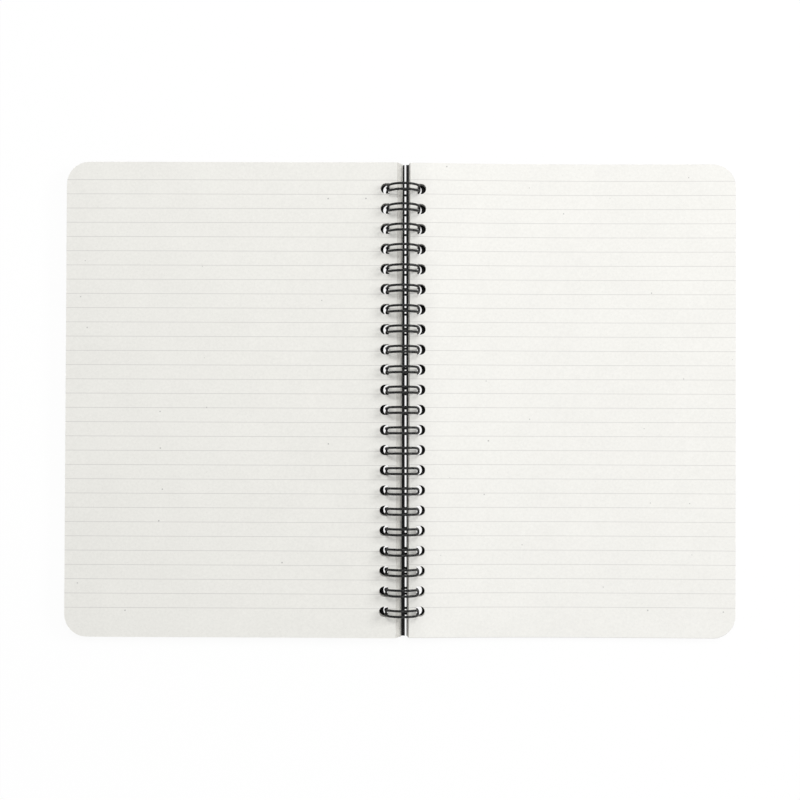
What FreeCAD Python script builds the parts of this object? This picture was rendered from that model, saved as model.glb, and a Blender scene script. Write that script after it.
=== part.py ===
import FreeCAD, Part
import math
import os
from FreeCAD import Vector

# An open ruled notebook that lies flat with its binding down the middle.
# X runs to the right across the open book, Y runs up the page and Z is up.
# The origin is the middle of the underside of the whole book.
# All sizes are in millimetres and all angles in degrees.

# Sheets.
page_height = 200.0
left_page_width = 139.3
right_page_width = 137.5
corner_radius = 9.5

# Covers, cut a little shorter than the sheets at each end.
cover_width = 138.4
cover_inset = 0.3
cover_thickness = 0.6
cover_skew = 0.24

# Twin-loop wire: three loops to the inch, as many as the spine has room for.
loop_pitch = 25.4 / 3
loop_end_margin = 11.0
loop_outer_diameter = 14.4
wire_diameter = 1.0
twin_spacing = 2.4
root_bend_radius = 1.0
root_angle = 32.0

# Punched holes and the room that the wire has in them.
hole_height = 4.4
hole_corner_radius = 2.1
wire_clearance = 0.3
left_hole_reach = 9.7
right_hole_reach = 9.55
left_cover_hole_reach = 8.25
right_cover_hole_reach = 8.05

# Spine edges, measured across from the middle of the loops.
# A positive value lies on the piece's own side of the binding.
left_top_sheet_edge = 2.8
left_bottom_sheet_edge = 0.7
left_cover_edge = -0.8
right_top_sheet_edge = 2.9
right_bottom_sheet_edge = 2.3
right_cover_edge = 1.5

# Each cover rises over the foot of the loops and comes down to the table.
left_cover_lift = 1.8
right_cover_lift = 2.3
lift_flat_end = 3.4
lift_fall_end = 21.0
sheet_gap = 0.2

# Height of the top sheet above the table, as (share of the page width, height).
left_top_heights = ((0.0, 7.6), (0.08, 7.5), (0.22, 7.1), (0.4, 6.85), (0.7, 6.7), (0.88, 6.4), (1.0, 6.1))
right_top_heights = ((0.0, 6.5), (0.05, 6.3), (0.14, 5.4), (0.3, 4.4), (0.48, 4.0), (0.7, 4.35), (1.0, 5.6))

cover_height = page_height - 2 * cover_inset
loop_count = 1 + math.floor((page_height - 2 * loop_end_margin) / loop_pitch)
loop_radius = (loop_outer_diameter - wire_diameter) / 2
axis_height = loop_outer_diameter / 2
clear_radius = loop_radius - wire_diameter / 2 - wire_clearance
left_reach = left_top_sheet_edge + left_page_width
right_reach = right_top_sheet_edge + right_page_width
axis_x = (left_reach - right_reach) / 2

# Lengths below this count as nothing when edges are picked.
tiny = 1e-6


def loop_middle(index):
    return (index - (loop_count - 1) / 2) * loop_pitch


def ring_point(angle, y):
    """A point on the loops' middle line, at an angle round from the lowest point."""
    turn = math.radians(angle)
    return Vector(loop_radius * math.sin(turn), y, axis_height - loop_radius * math.cos(turn))


def arc_edge(start, middle, end):
    return Part.Arc(start, middle, end).toShape()


def round_the_ring(y, from_angle, to_angle):
    middle = (from_angle + to_angle) / 2
    return arc_edge(ring_point(from_angle, y), ring_point(middle, y), ring_point(to_angle, y))


def tip_edge(y):
    """The round end that joins the two wires of a loop, at the foot of the ring."""
    radius = twin_spacing / 2
    start = ring_point(0, y - radius)
    end = ring_point(0, y + radius)
    return arc_edge(start, ring_point(0, y) - Vector(radius, 0, 0), end)


def root_edges(y, next_y):
    """The bends and the run that carry the wire from one loop to the next."""
    start = ring_point(-root_angle, y)
    end = ring_point(-root_angle, next_y)
    turn = math.radians(root_angle)
    downhill = Vector(math.cos(turn), 0, -math.sin(turn))
    along = Vector(0, 1, 0)
    share = math.sqrt(0.5)
    corner_middle = downhill * share + along * (1 - share)
    run_start = start + (downhill + along) * root_bend_radius
    run_end = end + (downhill - along) * root_bend_radius
    first = arc_edge(start, start + corner_middle * root_bend_radius, run_start)
    run = Part.makeLine(run_start, run_end)
    mirrored_middle = Vector(corner_middle.x, -corner_middle.y, corner_middle.z)
    last = arc_edge(run_end, end + mirrored_middle * root_bend_radius, end)
    return [first, run, last]


def make_wire():
    """One continuous wire bent into all the twin loops."""
    half = twin_spacing / 2
    full_turn = 360.0
    edges = []
    for index in range(loop_count):
        y = loop_middle(index)
        edges.append(round_the_ring(y - half, full_turn - root_angle, 0))
        edges.append(tip_edge(y))
        edges.append(round_the_ring(y + half, 0, full_turn - root_angle))
        if index < loop_count - 1:
            edges.extend(root_edges(y + half, loop_middle(index + 1) - half))
    path = Part.Wire(edges)
    start = ring_point(-root_angle, loop_middle(0) - half)
    turn = math.radians(root_angle)
    heading = Vector(-math.cos(turn), 0, math.sin(turn))
    section = Part.Wire(Part.makeCircle(wire_diameter / 2, start, heading))
    return path.makePipeShell([section], True, False)


def lift_curve(side, edge, far, lift, level):
    """The line of a cover from its spine edge, over the wire, and down to a level above the table."""
    points = [Vector(side * edge, 0, lift + level), Vector(side * lift_flat_end, 0, lift + level)]
    middle = (lift_flat_end + lift_fall_end) / 2
    fall = Part.BezierCurve()
    fall.setPoles([
        points[1],
        Vector(side * middle, 0, lift + level),
        Vector(side * middle, 0, level),
        Vector(side * lift_fall_end, 0, level),
    ])
    foot = Vector(side * lift_fall_end, 0, level)
    end = Vector(side * far, 0, level)
    return [Part.makeLine(points[0], points[1]), fall.toShape(), Part.makeLine(foot, end)]


def prism_along_y(edges, length):
    face = Part.Face(Part.Wire(Part.sortEdges(edges)[0]))
    solid = face.extrude(Vector(0, length, 0))
    solid.translate(Vector(0, -length / 2, 0))
    return solid


def rounded_outline(side, near, far, height, radius, top):
    """An upright block with its two outer corners rounded."""
    half = height / 2
    points = [Vector(side * near, -half, 0), Vector(side * far, -half, 0)]
    points += [Vector(side * far, half, 0), Vector(side * near, half, 0)]
    solid = Part.Face(Part.makePolygon(points + points[:1])).extrude(Vector(0, 0, top))
    outer = []
    for edge in solid.Edges:
        low, high = [vertex.Point for vertex in edge.Vertexes]
        runs_up = (high - low).cross(Vector(0, 0, 1)).Length < tiny
        if runs_up and abs(low.x - side * far) < tiny:
            outer.append(edge)
    return solid.makeFillet(radius, outer)


def hole_cutters(side, reach):
    """The room for the loops: outside the clear radius, and out to the hole's far edge."""
    core = Part.makeCylinder(clear_radius, page_height, Vector(0, -page_height / 2, axis_height), Vector(0, 1, 0))
    cutters = []
    for index in range(loop_count):
        block = rounded_outline(side, 0, reach, hole_height, hole_corner_radius, loop_outer_diameter)
        block.translate(Vector(0, loop_middle(index), 0))
        cutters.append(block.cut(core))
    return Part.makeCompound(cutters)


def make_cover(side, edge, lift, hole_reach):
    """A cover board with square spine corners and rounded outer corners."""
    far = edge + cover_width
    under = lift_curve(side, edge, far, lift, 0.0)
    over = lift_curve(side, edge, far, lift, cover_thickness)
    sides = []
    for x, level in ((edge, lift), (far, 0.0)):
        low = Vector(side * x, 0, level)
        sides.append(Part.makeLine(low, low + Vector(0, 0, cover_thickness)))
    board = prism_along_y(under + over + sides, cover_height)
    top = lift + cover_thickness
    board = board.common(rounded_outline(side, edge, far, cover_height, corner_radius, top))
    board.rotate(Vector(side * (edge + far) / 2, 0, 0), Vector(0, 0, 1), cover_skew)
    return board.cut(hole_cutters(side, hole_reach))


def make_pages(side, top_edge, bottom_edge, width, lift, heights, hole_reach):
    """All the sheets on one side, as one block that leans as the loops hold it."""
    top_far = top_edge + width
    bottom_far = bottom_edge + width
    floor_level = cover_thickness + sheet_gap
    under = lift_curve(side, bottom_edge, bottom_far, lift, floor_level)
    points = [Vector(side * (top_edge + share * width), 0, height) for share, height in heights]
    crown = Part.BSplineCurve()
    crown.interpolate(points)
    sides = [
        Part.makeLine(Vector(side * bottom_edge, 0, lift + floor_level), points[0]),
        Part.makeLine(Vector(side * bottom_far, 0, floor_level), points[-1]),
    ]
    block = prism_along_y(under + [crown.toShape()] + sides, page_height)
    near = min(bottom_edge, top_edge)
    far = max(bottom_far, top_far)
    block = block.common(rounded_outline(side, near, far, page_height, corner_radius, axis_height * 2))
    return block.cut(hole_cutters(side, hole_reach))


def save(shape, name):
    shape = shape.copy()
    shape.translate(Vector(axis_x, 0, 0))
    shape.exportStep("parts/" + name + ".step")


os.makedirs("parts", exist_ok=True)
save(make_wire(), "twin_loop_wire")
save(make_cover(-1, left_cover_edge, left_cover_lift, left_cover_hole_reach), "front_cover")
save(make_cover(1, right_cover_edge, right_cover_lift, right_cover_hole_reach), "back_cover")
save(
    make_pages(-1, left_top_sheet_edge, left_bottom_sheet_edge, left_page_width,
               left_cover_lift, left_top_heights, left_hole_reach),
    "left_pages",
)
save(
    make_pages(1, right_top_sheet_edge, right_bottom_sheet_edge, right_page_width,
               right_cover_lift, right_top_heights, right_hole_reach),
    "right_pages",
)
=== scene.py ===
import math

import bpy
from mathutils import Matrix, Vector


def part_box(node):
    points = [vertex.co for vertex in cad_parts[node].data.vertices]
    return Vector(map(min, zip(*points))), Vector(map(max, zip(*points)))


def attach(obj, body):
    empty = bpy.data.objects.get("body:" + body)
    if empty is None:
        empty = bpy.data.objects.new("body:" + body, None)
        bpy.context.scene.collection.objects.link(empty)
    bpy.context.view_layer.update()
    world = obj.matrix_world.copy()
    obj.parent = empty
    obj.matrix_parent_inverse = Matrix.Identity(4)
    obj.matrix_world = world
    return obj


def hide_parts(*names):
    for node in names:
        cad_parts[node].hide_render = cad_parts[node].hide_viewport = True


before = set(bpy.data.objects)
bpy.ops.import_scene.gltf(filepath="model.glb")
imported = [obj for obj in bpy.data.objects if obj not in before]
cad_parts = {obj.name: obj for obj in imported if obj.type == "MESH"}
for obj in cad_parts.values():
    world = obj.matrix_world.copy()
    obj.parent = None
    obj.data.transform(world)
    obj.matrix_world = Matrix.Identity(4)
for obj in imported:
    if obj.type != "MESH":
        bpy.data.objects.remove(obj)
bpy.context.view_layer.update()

# An open ruled notebook with a twin-loop wire, lying flat and seen from above.
# Lengths are in metres, in the part's own frame. MM turns millimetres into metres.
MM = 0.001

# The binding, as the part has it, with a lean, a nip at both sides and a bulge on the left on top.
loop_low, loop_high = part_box("twin_loop_wire")
axis_x = (loop_low[0] + loop_high[0]) / 2
axis_height = (loop_low[2] + loop_high[2]) / 2
loop_count = 22
loop_pitch = 25.4 / 3 * MM
wire_thickness = 1.0 * MM
twin_spacing = 2.4 * MM
root_bend = 1.0 * MM
root_angle = math.radians(32)
loop_radius = (loop_high[2] - loop_low[2] - wire_thickness) / 2
loop_lean = math.radians(2.4)
nipped_spacing = 0.62 * MM
nip_reach = math.radians(16)
left_bulge = 0.85 * MM
bulge_angle = math.radians(294)
bulge_reach = math.radians(13)
wire_sides = 12
arc_steps = 84
bend_steps = 6

# Holes, and how near the sheets and the boards come to the wire.
hole_half_height = 2.2 * MM
hole_corner = 2.1 * MM
hole_inner_corner = 0.4 * MM
hole_corner_steps = 5
wire_clearance = 0.25 * MM
clear_radius = loop_radius - wire_thickness / 2 - wire_clearance

# Boards and sheets.
sheet_height = 200 * MM
board_height = 199.4 * MM
board_width = 138.4 * MM
board_thickness = 0.6 * MM
board_skew = math.radians(0.24)
outer_corner = 9.5 * MM
outer_corner_steps = 8
column_step = 4.0 * MM
lift_flat_end = 3.4 * MM
lift_fall_end = 21.0 * MM
sheet_gap = 0.2 * MM
leaf_jitter = 0.08 * MM
jitter_seed = 4
leaf_thickness_share = 0.92
sharp_angle = math.radians(50)

# The curve of a top leaf is drawn from 0 to 1, where 1 stands for this height.
crown_unit = 10 * MM

# Ruling.
line_pitch = 6.0 * MM
line_count = 31
line_width = 0.24 * MM

# The camera, found from the ruled lines, the edges and the loops in the photograph.
camera_place = (-0.62 * MM, -5.77 * MM, 551.68 * MM)
camera_turn = (math.radians(0.599), math.radians(-0.031), math.radians(0.206))
focal_pixels = 1296.1
image_pixels = 800
sensor_width = 36.0


class Term:
    """An output of a node, used in Python expressions."""

    def __init__(self, nodes, node, socket):
        self.nodes = nodes
        self.node = node
        self.socket = socket

    def out(self, name):
        return Term(self.nodes, self.node, self.node.outputs[name])

    def __add__(self, other):
        return self.nodes.math("ADD", self, other)

    def __radd__(self, other):
        return self.nodes.math("ADD", other, self)

    def __sub__(self, other):
        return self.nodes.math("SUBTRACT", self, other)

    def __rsub__(self, other):
        return self.nodes.math("SUBTRACT", other, self)

    def __mul__(self, other):
        return self.nodes.math("MULTIPLY", self, other)

    def __rmul__(self, other):
        return self.nodes.math("MULTIPLY", other, self)

    def __truediv__(self, other):
        return self.nodes.math("DIVIDE", self, other)

    def __gt__(self, other):
        return self.nodes.math("GREATER_THAN", self, other)

    def __lt__(self, other):
        return self.nodes.math("LESS_THAN", self, other)

    def __abs__(self):
        return self.nodes.math("ABSOLUTE", self)


class Nodes:
    """A node tree that is written as expressions."""

    def __init__(self, tree):
        self.tree = tree

    def plug(self, item, socket):
        if isinstance(item, Term):
            self.tree.links.new(item.socket, socket)
        else:
            socket.default_value = item

    def add(self, kind, settings=None, inputs=None, output=0):
        node = self.tree.nodes.new(kind)
        for name, value in (settings or {}).items():
            setattr(node, name, value)
        for key, item in (inputs or {}).items():
            self.plug(item, node.inputs[key])
        return Term(self, node, node.outputs[output]) if node.outputs else Term(self, node, None)

    def math(self, operation, *items):
        return self.add("ShaderNodeMath", {"operation": operation}, dict(enumerate(items)))

    def blend(self, factor, first, second):
        """Mixes two colours."""
        settings = {"data_type": "RGBA"}
        inputs = {"Factor": factor, 6: first, 7: second}
        return self.add("ShaderNodeMix", settings, inputs, 2)

    def step(self, value, start, end, first, last, kind="SMOOTHSTEP"):
        """Goes smoothly from first to last while value goes from start to end."""
        inputs = {"Value": value, "From Min": start, "From Max": end, "To Min": first, "To Max": last}
        return self.add("ShaderNodeMapRange", {"interpolation_type": kind}, inputs)

    def attribute(self, name):
        settings = {"data_type": "FLOAT"}
        return self.add("GeometryNodeInputNamedAttribute", settings, {"Name": name}, "Attribute")


def add_piece(name, data):
    piece = bpy.data.objects.new(name, data)
    bpy.context.scene.collection.objects.link(piece)
    return piece


def new_tree(name, inputs):
    """A geometry tree with a geometry input and output and named number inputs."""
    tree = bpy.data.node_groups.new(name, "GeometryNodeTree")
    tree.interface.new_socket("Geometry", in_out="INPUT", socket_type="NodeSocketGeometry")
    for label, kind in inputs:
        tree.interface.new_socket(label, in_out="INPUT", socket_type=kind)
    tree.interface.new_socket("Geometry", in_out="OUTPUT", socket_type="NodeSocketGeometry")
    return tree


def grow(piece, tree, values):
    """Runs a geometry tree on a piece and keeps the result as its plain mesh."""
    modifier = piece.modifiers.new(tree.name, "NODES")
    modifier.node_group = tree
    for item in tree.interface.items_tree:
        if item.in_out == "INPUT" and item.name in values:
            modifier[item.identifier] = values[item.name]
    evaluated = piece.evaluated_get(bpy.context.evaluated_depsgraph_get())
    mesh = bpy.data.meshes.new_from_object(evaluated)
    name = piece.name
    mesh.name = name
    bpy.data.objects.remove(piece)
    return add_piece(name, mesh)


# Materials

def new_material(name):
    material = bpy.data.materials.new(name)
    material.use_nodes = True
    material.node_tree.nodes.clear()
    return material, Nodes(material.node_tree)


def finish_material(nodes, inputs):
    shader = nodes.add("ShaderNodeBsdfPrincipled", None, inputs)
    nodes.add("ShaderNodeOutputMaterial", None, {"Surface": shader})


def noise(nodes, place, size, detail=3.0):
    """Soft noise whose lumps are about size across, from 0 to 1."""
    inputs = {"Vector": place, "Scale": 1 / size, "Detail": detail}
    return nodes.add("ShaderNodeTexNoise", None, inputs)


def specks(nodes, place, spacing, radius, share):
    """1 inside small dots, of which only a share of the cells has one."""
    settings = {"voronoi_dimensions": "2D"}
    cells = nodes.add("ShaderNodeTexVoronoi", settings, {"Vector": place, "Scale": 1 / spacing})
    picks = nodes.add("ShaderNodeSeparateColor", None, {"Color": cells.out("Color")})
    present = picks.out("Red") < share
    reach = (picks.out("Green") * 0.7 + 0.5) * (radius / spacing)
    return present * nodes.step(cells.out("Distance") / reach, 0.6, 1.0, 1.0, 0.0)


def ruled_paper(name, colour, line_colour, first_line):
    """Recycled writing paper with fine ruled lines right across it."""
    material, nodes = new_material(name)
    coordinates = nodes.add("ShaderNodeTexCoord")
    place = coordinates.out("Object")
    across = nodes.add("ShaderNodeSeparateXYZ", None, {"Vector": place})
    facing = nodes.add("ShaderNodeSeparateXYZ", None, {"Vector": coordinates.out("Normal")})
    on_face = abs(facing.out("Z")) > 0.5
    place_in_ruling = (first_line - across.out("Y")) / line_pitch
    nearest = nodes.math("ROUND", place_in_ruling)
    away = abs(place_in_ruling - nearest) * line_pitch
    in_ruling = (nearest > -0.5) * (nearest < line_count - 0.5)
    wobble = noise(nodes, place, size=0.5 * MM)
    ink_core = line_width * 0.25
    ink_edge = line_width * 0.6
    ink = nodes.step(away, ink_core, ink_edge, 1.0, 0.0) * in_ruling * on_face
    ink = ink * (wobble * 0.5 + 0.7)

    cloud = noise(nodes, place, size=14 * MM)
    mottle = noise(nodes, place, size=1.1 * MM, detail=4.0)
    fibre = noise(nodes, place, size=0.45 * MM)
    shade = (cloud - 0.5) * 0.4 + (mottle - 0.5) * 0.9 + (fibre - 0.5) * 0.6
    darker = tuple(part * 0.935 for part in colour[:3]) + (1.0,)
    lighter = tuple(min(part * 1.02, 1.0) for part in colour[:3]) + (1.0,)
    tone = nodes.blend(nodes.step(shade, -0.3, 0.3, 0.0, 1.0, "LINEAR"), darker, lighter)
    dots = specks(nodes, place, spacing=17 * MM, radius=0.36 * MM, share=0.24)
    dust = specks(nodes, place, spacing=3.4 * MM, radius=0.16 * MM, share=0.4)
    dust_grey = (0.35, 0.34, 0.32, 1.0)
    dot_grey = (0.2, 0.2, 0.2, 1.0)
    tone = nodes.blend(dust * 0.16, tone, dust_grey)
    tone = nodes.blend(dots * 0.5 * on_face, tone, dot_grey)
    tone = nodes.blend(ink, tone, line_colour)
    # Painted shade: leaves inside a stack are darkened towards a brown grey, each by its own random amount.
    # This stands in for the shadow in the gaps between sheets where their edges show.
    painted_gap_shade = nodes.add("ShaderNodeAttribute", {"attribute_name": "painted_gap_shade"}).out("Fac")
    shade_between = (0.30, 0.285, 0.26, 1.0)
    tone = nodes.blend(painted_gap_shade * 0.5, tone, shade_between)

    grain = noise(nodes, place, size=0.25 * MM, detail=4.0)
    relief = nodes.add("ShaderNodeBump", None, {"Strength": 0.25, "Distance": 0.02 * MM, "Height": grain})
    finish_material(nodes, {
        "Base Color": tone,
        "Roughness": 0.92,
        "Specular IOR Level": 0.2,
        "Normal": relief,
    })
    return material


def black_board():
    """Black pressed board with a fine leathery grain and faint rubbing."""
    material, nodes = new_material("black_board")
    place = nodes.add("ShaderNodeTexCoord").out("Object")
    grain = noise(nodes, place, size=0.5 * MM, detail=5.0)
    rubbing = noise(nodes, place, size=2.5 * MM, detail=5.0)
    dark = (0.006, 0.006, 0.0065, 1.0)
    worn = (0.010, 0.010, 0.0105, 1.0)
    tone = nodes.blend(rubbing, dark, worn)
    relief = nodes.add("ShaderNodeBump", None, {"Strength": 0.6, "Distance": 0.05 * MM, "Height": grain})
    finish_material(nodes, {
        "Base Color": tone,
        "Roughness": nodes.step(rubbing, 0.3, 0.7, 0.6, 0.55),
        "Specular IOR Level": 0.15,
        "Normal": relief,
    })
    return material


def black_enamel():
    """Steel wire under glossy black enamel."""
    material, nodes = new_material("black_enamel")
    place = nodes.add("ShaderNodeTexCoord").out("Object")
    flow = noise(nodes, place, size=1.2 * MM, detail=2.0)
    dark = (0.004, 0.004, 0.0045, 1.0)
    thin = (0.010, 0.010, 0.0105, 1.0)
    tone = nodes.blend(flow, dark, thin)
    relief = nodes.add("ShaderNodeBump", None, {"Strength": 0.12, "Distance": 0.02 * MM, "Height": flow})
    finish_material(nodes, {
        "Base Color": tone,
        "Roughness": nodes.step(flow, 0.3, 0.7, 0.24, 0.34),
        "Specular IOR Level": 0.25,
        "Normal": relief,
    })
    return material


# Sheets and boards

class Outline:
    """A flat punched leaf, drawn once and given two faces and a wall.

    Across is measured from the middle of the loops, along from the middle of the book.
    slide is how far a point moves with the lean of the stack, and follow is 1 where it keeps to the loops.
    """

    def __init__(self):
        self.points = []
        self.slides = []
        self.follows = []
        self.faces = []
        self.known = {}

    def point(self, across, along, slide=0.0, follow=0.0):
        key = (round(across / MM, 5), round(along / MM, 5))
        if key not in self.known:
            self.known[key] = len(self.points)
            self.points.append((across, along))
            self.slides.append(slide)
            self.follows.append(follow)
        return self.known[key]

    def face(self, corners):
        self.faces.append(corners)


def loop_middle(index):
    return (index - (loop_count - 1) / 2) * loop_pitch


def arc_points(outline, middle, radius, start, end, steps, follow=0.0):
    """Points round a corner of a hole."""
    found = []
    for step in range(steps + 1):
        angle = start + (end - start) * step / steps
        across = middle[0] + radius * math.cos(angle)
        along = middle[1] + radius * math.sin(angle)
        found.append(outline.point(across, along, follow=follow))
    return found


def hole_side(outline, inner, outer, hole, upwards):
    """The edge of one hole from its inner end to its outer end, on its upper or lower side."""
    sign = 1 if upwards else -1
    edge = loop_middle(hole) + sign * hole_half_height
    quarter = math.pi / 2
    near = (inner + hole_inner_corner, edge - sign * hole_inner_corner)
    far = (outer - hole_corner, edge - sign * hole_corner)
    first = arc_points(outline, near, hole_inner_corner, sign * 2 * quarter, sign * quarter,
                       hole_corner_steps, follow=1.0)
    second = arc_points(outline, far, hole_corner, sign * quarter, 0.0, hole_corner_steps)
    return first + second


def punched_leaf(spine, far, inner, outer, height, lean):
    """The outline of a leaf with its row of holes and two rounded outer corners."""
    outline = Outline()
    half = height / 2
    spine_low = outline.point(spine, -half, lean)
    spine_high = outline.point(spine, half, lean)
    inner_low = outline.point(inner, -half, follow=1.0)
    inner_high = outline.point(inner, half, follow=1.0)
    outer_low = outline.point(outer, -half)
    outer_high = outline.point(outer, half)
    inner_line = [inner_low]
    outer_line = [outer_low]
    below = None
    for hole in range(loop_count):
        lower = hole_side(outline, inner, outer, hole, False)
        if below is None:
            outline.face([inner_low, outer_low] + lower[::-1])
        else:
            outline.face(below + lower[::-1])
        below = hole_side(outline, inner, outer, hole, True)
        inner_line += [lower[0], below[0]]
        outer_line += [lower[-1], below[-1]]
    outline.face(below + [outer_high, inner_high])
    inner_line.append(inner_high)
    outer_line.append(outer_high)
    outline.face([spine_low] + inner_line + [spine_high])

    straight_end = far - outer_corner
    columns = max(2, round((straight_end - outer) / column_step))
    before = outer_line
    for column in range(1, columns + 1):
        share = column / columns
        across = outer + (straight_end - outer) * share
        line = [outline.point(across, -half, lean * share), outline.point(across, half, lean * share)]
        outline.face([before[0], line[0], line[1]] + before[:0:-1])
        before = line
    for step in range(1, outer_corner_steps + 1):
        angle = math.pi / 2 * step / outer_corner_steps
        across = straight_end + outer_corner * math.sin(angle)
        reach = half - outer_corner * (1 - math.cos(angle))
        line = [outline.point(across, -reach, lean), outline.point(across, reach, lean)]
        outline.face([before[0], line[0], line[1], before[1]])
        before = line
    return outline


def leaf_mesh(name, outline, side, skew):
    """Two faces and the wall round them. A skew slants the leaf a little, so that it lies askew."""
    count = len(outline.points)
    places = []
    for layer in (0, 1):
        for (across, along), follow in zip(outline.points, outline.follows):
            if not follow:
                across -= side * math.tan(skew) * along
            places.append((across, along, 0.0))
    edges = {}
    for face in outline.faces:
        for first, second in zip(face, face[1:] + face[:1]):
            edges[(first, second)] = True
    faces = [[corner + count for corner in face] for face in outline.faces]
    faces += [face[::-1] for face in outline.faces]
    for first, second in edges:
        if (second, first) not in edges:
            faces.append([first, second, second + count, first + count])
    if side < 0:
        faces = [face[::-1] for face in faces]
    mesh = bpy.data.meshes.new(name)
    mesh.from_pydata(places, [], faces)
    values = {
        "slide": outline.slides * 2,
        "follow": outline.follows * 2,
        "layer": [0.0] * count + [1.0] * count,
    }
    for label, numbers in values.items():
        mesh.attributes.new(label, "FLOAT", "POINT").data.foreach_set("value", numbers)
    return mesh


def stack_tree(name, heights, material):
    """A stack of leaves from the curve of the cover below up to the curve of the top leaf."""
    tree = new_tree(name, (
        ("Leaves", "NodeSocketInt"), ("Leaf share", "NodeSocketFloat"), ("Side", "NodeSocketFloat"),
        ("Spine", "NodeSocketFloat"), ("Width", "NodeSocketFloat"), ("Lift", "NodeSocketFloat"),
        ("Floor", "NodeSocketFloat"), ("Thickness", "NodeSocketFloat"), ("Jitter", "NodeSocketFloat"),
        ("Seed", "NodeSocketInt"),
    ))
    nodes = Nodes(tree)
    given = nodes.add("NodeGroupInput")
    row = nodes.add("GeometryNodePoints", None, {"Count": given.out("Leaves")})
    copies = nodes.add("GeometryNodeInstanceOnPoints", None, {
        "Points": row,
        "Instance": given.out("Geometry"),
    })
    numbered = nodes.add("GeometryNodeStoreNamedAttribute", {"data_type": "FLOAT", "domain": "INSTANCE"}, {
        "Geometry": copies,
        "Name": "leaf",
        "Value": nodes.add("GeometryNodeInputIndex"),
    })
    # Painted shade: every leaf except the top and bottom ones gets a random amount of painted gap shade,
    # weaker towards the bottom of the stack. The paper turns this into a darker colour.
    number = nodes.add("GeometryNodeInputIndex")
    inner = (number > 0.5) * (number < given.out("Leaves") - 1.5)
    shade_strength = nodes.add("FunctionNodeRandomValue", {"data_type": "FLOAT"}, {
        2: 0.45,
        3: 1.0,
        "Seed": given.out("Seed"),
    }, 1)
    shaded = nodes.add("GeometryNodeStoreNamedAttribute", {"data_type": "FLOAT", "domain": "INSTANCE"}, {
        "Geometry": numbered,
        "Name": "painted_gap_shade",
        "Value": inner * shade_strength * (number / given.out("Leaves") * 0.5 + 0.5),
    })
    leaves = nodes.add("GeometryNodeRealizeInstances", None, {"Geometry": shaded})

    leaf = nodes.attribute("leaf")
    place = nodes.add("ShaderNodeSeparateXYZ", None, {"Vector": nodes.add("GeometryNodeInputPosition")})
    leaf_share = given.out("Leaf share")
    share = (leaf + nodes.attribute("layer") * leaf_share) / (given.out("Leaves") - 1 + leaf_share)
    across = place.out("X") + nodes.attribute("slide") * (1 - share)
    fall = nodes.step(across, lift_flat_end, lift_fall_end, 1.0, 0.0, "SMOOTHERSTEP")
    under = given.out("Floor") + fall * given.out("Lift")
    if heights:
        curve = nodes.add("ShaderNodeFloatCurve", None, {
            "Value": (across - given.out("Spine")) / given.out("Width"),
        })
        points = curve.node.mapping.curves[0].points
        points[0].location = (heights[0][0], heights[0][1] * MM / crown_unit)
        points[1].location = (heights[-1][0], heights[-1][1] * MM / crown_unit)
        for where, height in heights[1:-1]:
            points.new(where, height * MM / crown_unit)
        curve.node.mapping.update()
        height = under + (curve * crown_unit - under) * share
    else:
        height = under + given.out("Thickness") * share
    drop = height - axis_height
    keep = nodes.math("SQRT", clear_radius * clear_radius - drop * drop) - clear_radius
    across = across + nodes.attribute("follow") * keep
    reach = given.out("Jitter")
    scatter = nodes.add("FunctionNodeRandomValue", {"data_type": "FLOAT_VECTOR"}, {
        0: (-1.0, -1.0, 0.0),
        1: (1.0, 1.0, 0.0),
        "ID": leaf,
        "Seed": given.out("Seed"),
    })
    stray = nodes.add("ShaderNodeSeparateXYZ", None, {"Vector": scatter})
    target = nodes.add("ShaderNodeCombineXYZ", None, {
        "X": axis_x + given.out("Side") * across + stray.out("X") * reach,
        "Y": place.out("Y") + stray.out("Y") * reach,
        "Z": height,
    })
    placed = nodes.add("GeometryNodeSetPosition", None, {"Geometry": leaves, "Position": target})
    smooth = nodes.add("GeometryNodeSetShadeSmooth", {"domain": "FACE"}, {"Geometry": placed})
    corner = nodes.add("GeometryNodeInputMeshEdgeAngle")
    sharp = nodes.add("GeometryNodeSetShadeSmooth", {"domain": "EDGE"}, {
        "Geometry": smooth,
        "Selection": corner > sharp_angle,
        "Shade Smooth": False,
    })
    painted = nodes.add("GeometryNodeSetMaterial", None, {"Geometry": sharp, "Material": material})
    nodes.add("NodeGroupOutput", None, {0: painted})
    return tree


def make_stack(name, side, material, sizes, heights=None):
    """Sheets or a board on one side of the binding. The jitter is kept inside the full size."""
    spine = sizes["spine"]
    jitter = sizes["jitter"]
    far = spine + sizes["width"] - jitter
    height = sizes["height"] - 2 * jitter
    outline = punched_leaf(spine, far, clear_radius, sizes["hole reach"], height, sizes["lean"])
    mesh = leaf_mesh(name, outline, side, sizes["skew"])
    tree = stack_tree(name + "_tree", heights, material)
    return grow(add_piece(name, mesh), tree, {
        "Leaves": sizes["leaves"],
        "Leaf share": leaf_thickness_share,
        "Side": float(side),
        "Spine": spine,
        "Width": sizes["width"],
        "Lift": sizes["lift"],
        "Floor": sizes["floor"],
        "Thickness": board_thickness,
        "Jitter": jitter,
        "Seed": jitter_seed,
    })


# Wire

def ring_point(angle, along):
    """A point on a ring that leans a little, with its foot towards the bottom of the page.

    The ring bulges a little where it goes into the left stack.
    """
    from_bulge = (angle % (2 * math.pi) - bulge_angle) / bulge_reach
    radius = loop_radius + left_bulge * math.exp(-from_bulge * from_bulge)
    rise = -radius * math.cos(angle)
    across = axis_x + radius * math.sin(angle)
    return (across, along + (rise - loop_radius) * math.tan(loop_lean), axis_height + rise)


def nip(angle):
    """How far the two wires of a loop come together, from 0 to 1: they do so at both sides."""
    from_side = (angle % math.pi - math.pi / 2) / nip_reach
    return math.exp(-from_side * from_side)


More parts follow.
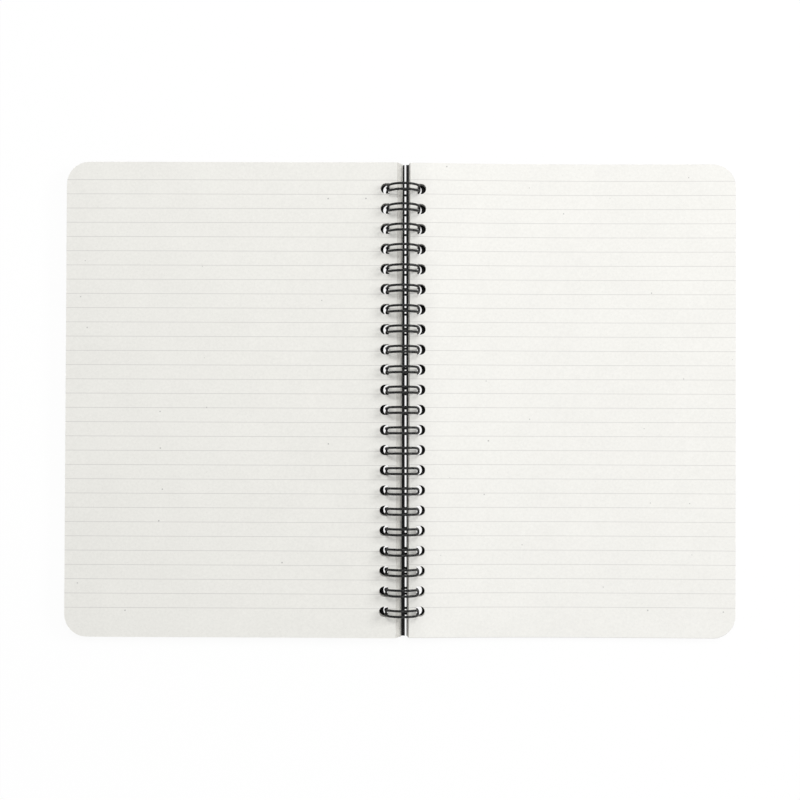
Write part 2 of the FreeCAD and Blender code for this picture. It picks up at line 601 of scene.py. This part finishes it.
def ring_arc(middle, sign, start, end, steps):
    """One wire of a loop, on the upper or the lower side of the loop's middle."""
    points = []
    for step in range(steps + 1):
        angle = start + (end - start) * step / steps
        apart = twin_spacing + (nipped_spacing - twin_spacing) * nip(angle)
        points.append(ring_point(angle, middle + sign * apart / 2))
    return points


def tip_bend(along):
    """The round end of a loop, level at the foot of the ring."""
    radius = twin_spacing / 2
    across, foot, height = ring_point(0.0, along)
    points = []
    for step in range(1, 2 * bend_steps):
        angle = math.pi * step / (2 * bend_steps)
        points.append((across - radius * math.sin(angle), foot - radius * math.cos(angle), height))
    return points


def root_run(along, next_along):
    """From one loop to the next: a bend, a straight run beside the tips, and a bend."""
    downhill = (math.cos(root_angle), -math.sin(root_angle))
    points = []
    ends = ((along, 1.0, range(1, bend_steps + 1)), (next_along, -1.0, range(bend_steps, 0, -1)))
    for start, sign, steps in ends:
        across, foot, height = ring_point(-root_angle, start)
        for step in steps:
            angle = math.pi / 2 * step / bend_steps
            forward = root_bend * math.sin(angle)
            sideways = sign * root_bend * (1 - math.cos(angle))
            points.append((across + downhill[0] * forward, foot + sideways, height + downhill[1] * forward))
    return points


def wire_path():
    """The middle line of the one wire, through all the loops."""
    half = twin_spacing / 2
    back = 2 * math.pi - root_angle
    points = []
    for index in range(loop_count):
        along = loop_middle(index)
        points += ring_arc(along, -1, back, 0.0, arc_steps)
        points += tip_bend(along)
        points += ring_arc(along, 1, 0.0, back, arc_steps)
        if index < loop_count - 1:
            points += root_run(along + half, loop_middle(index + 1) - half)
    return points


def tube_tree(name, material):
    """A round tube along a path."""
    tree = new_tree(name, (("Thickness", "NodeSocketFloat"), ("Sides", "NodeSocketInt")))
    nodes = Nodes(tree)
    given = nodes.add("NodeGroupInput")
    section = nodes.add("GeometryNodeCurvePrimitiveCircle", None, {
        "Radius": given.out("Thickness") / 2,
        "Resolution": given.out("Sides"),
    })
    tube = nodes.add("GeometryNodeCurveToMesh", None, {
        "Curve": given.out("Geometry"),
        "Profile Curve": section,
        "Fill Caps": True,
    })
    real = nodes.add("GeometryNodeRealizeInstances", None, {"Geometry": tube})
    smooth = nodes.add("GeometryNodeSetShadeSmooth", {"domain": "FACE"}, {"Geometry": real})
    painted = nodes.add("GeometryNodeSetMaterial", None, {"Geometry": smooth, "Material": material})
    nodes.add("NodeGroupOutput", None, {0: painted})
    return tree


def make_loops(material):
    """The wire, swept through all its loops."""
    points = wire_path()
    curve = bpy.data.curves.new("wire_path", "CURVE")
    curve.dimensions = "3D"
    spline = curve.splines.new("POLY")
    spline.points.add(len(points) - 1)
    for knot, place in zip(spline.points, points):
        knot.co = (*place, 1.0)
    tree = tube_tree("wire_tree", material)
    return grow(add_piece("wire_loops", curve), tree, {"Thickness": wire_thickness, "Sides": wire_sides})


# The notebook's own pieces

def build_notebook():
    # The left paper and its ruling are a little darker than the right ones: painted shade for the dimmer
    # light on the left page.
    left_paper = ruled_paper("left_paper", colour=(0.843, 0.835, 0.795, 1.0),
                             line_colour=(0.60, 0.588, 0.572, 1.0), first_line=92.37 * MM)
    right_paper = ruled_paper("right_paper", colour=(0.868, 0.86, 0.823, 1.0),
                              line_colour=(0.62, 0.608, 0.592, 1.0), first_line=92.83 * MM)
    board = black_board()
    enamel = black_enamel()
    floor_level = board_thickness + sheet_gap

    left = {"spine": 2.8 * MM, "width": 139.3 * MM, "hole reach": 9.7 * MM, "height": sheet_height,
            "lean": -2.4 * MM, "leaves": 56, "lift": 1.8 * MM, "floor": floor_level,
            "jitter": leaf_jitter, "skew": 0.0}
    left_crown = ((0.0, 7.6), (0.08, 7.5), (0.22, 7.1), (0.4, 6.85), (0.7, 6.7), (0.88, 6.4), (1.0, 6.1))
    right = {"spine": 2.9 * MM, "width": 137.5 * MM, "hole reach": 9.55 * MM, "height": sheet_height,
             "lean": -0.6 * MM, "leaves": 34, "lift": 2.3 * MM, "floor": floor_level,
             "jitter": leaf_jitter, "skew": 0.0}
    right_crown = ((0.0, 6.5), (0.05, 6.3), (0.14, 5.4), (0.3, 4.4), (0.48, 4.0), (0.7, 4.35), (1.0, 5.6))
    front = {"spine": -0.8 * MM, "width": board_width, "hole reach": 8.25 * MM, "height": board_height,
             "lean": 0.0, "leaves": 1, "lift": 1.8 * MM, "floor": 0.0, "jitter": 0.0, "skew": board_skew}
    back = {"spine": 1.5 * MM, "width": board_width, "hole reach": 8.05 * MM, "height": board_height,
            "lean": 0.0, "leaves": 1, "lift": 2.3 * MM, "floor": 0.0, "jitter": 0.0, "skew": board_skew}

    made = (
        (make_stack("left_sheets", -1, left_paper, left, left_crown), "left_pages", "paper"),
        (make_stack("right_sheets", 1, right_paper, right, right_crown), "right_pages", "paper"),
        (make_stack("front_board", -1, board, front), "front_cover", "cover"),
        (make_stack("back_board", 1, board, back), "back_cover", "cover"),
        (make_loops(enamel), "twin_loop_wire", "wire"),
    )
    for piece, node, slot in made:
        body = "binding" if node == "twin_loop_wire" else node
        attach(piece, body)
        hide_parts(node)


# Floor, light and camera

def seen_directly(nodes):
    """1 for what the camera sees itself, in a reflection or through something clear."""
    path = nodes.add("ShaderNodeLightPath")
    total = path.out("Is Camera Ray") + path.out("Is Glossy Ray") + path.out("Is Transmission Ray")
    return nodes.math("MINIMUM", total, 1.0)


def make_floor():
    """A white floor that still takes a faint shadow."""
    half = 2.0
    level = -0.02 * MM
    corners = [(-half, -half, level), (half, -half, level), (half, half, level), (-half, half, level)]
    mesh = bpy.data.meshes.new("floor")
    mesh.from_pydata(corners, [], [(0, 1, 2, 3)])
    material, nodes = new_material("floor_white")
    plain = nodes.add("ShaderNodeBsdfDiffuse", None, {"Color": (0.97, 0.97, 0.97, 1.0)})
    white = nodes.add("ShaderNodeEmission", None, {"Color": (1.0, 1.0, 1.0, 1.0), "Strength": 1.0})
    shadow_share = 0.06
    mix = nodes.add("ShaderNodeMixShader", None, {
        "Fac": seen_directly(nodes) * (1 - shadow_share), 1: plain, 2: white,
    })
    nodes.add("ShaderNodeOutputMaterial", None, {"Surface": mix})
    mesh.materials.append(material)
    add_piece("floor", mesh)


def add_lamp(name, place, size, energy):
    """A round soft lamp that looks at the middle of the book."""
    lamp = bpy.data.lights.new(name, "AREA")
    lamp.shape = "DISK"
    lamp.size = size
    lamp.energy = energy
    holder = bpy.data.objects.new(name, lamp)
    holder.location = place
    holder.rotation_euler = holder.location.to_track_quat("Z", "Y").to_euler()
    bpy.context.scene.collection.objects.link(holder)


def make_light():
    """A soft lamp above the head of the page, a second one on the right, and an even pale room."""
    add_lamp("soft_lamp", place=(0.1, 0.42, 1.05), size=0.4, energy=3.8)
    add_lamp("right_lamp", place=(1.45, 0.35, 0.95), size=0.5, energy=14.0)

    world = bpy.data.worlds.new("pale_room")
    world.use_nodes = True
    world.node_tree.nodes.clear()
    nodes = Nodes(world.node_tree)
    ambient = 0.54
    strength = seen_directly(nodes) * (1 - ambient) + ambient
    sky = nodes.add("ShaderNodeBackground", None, {"Color": (1.0, 1.0, 1.0, 1.0), "Strength": strength})
    nodes.add("ShaderNodeOutputWorld", None, {"Surface": sky})
    bpy.context.scene.world = world


def make_camera():
    lens = bpy.data.cameras.new("camera")
    lens.sensor_fit = "HORIZONTAL"
    lens.sensor_width = sensor_width
    lens.lens = focal_pixels / image_pixels * sensor_width
    lens.clip_start = 0.01
    lens.clip_end = 20.0
    camera = bpy.data.objects.new("camera", lens)
    camera.location = camera_place
    camera.rotation_euler = camera_turn
    bpy.context.scene.collection.objects.link(camera)
    bpy.context.scene.camera = camera


make_camera()
build_notebook()
make_floor()
make_light()
bpy.context.scene.view_settings.view_transform = "Standard"
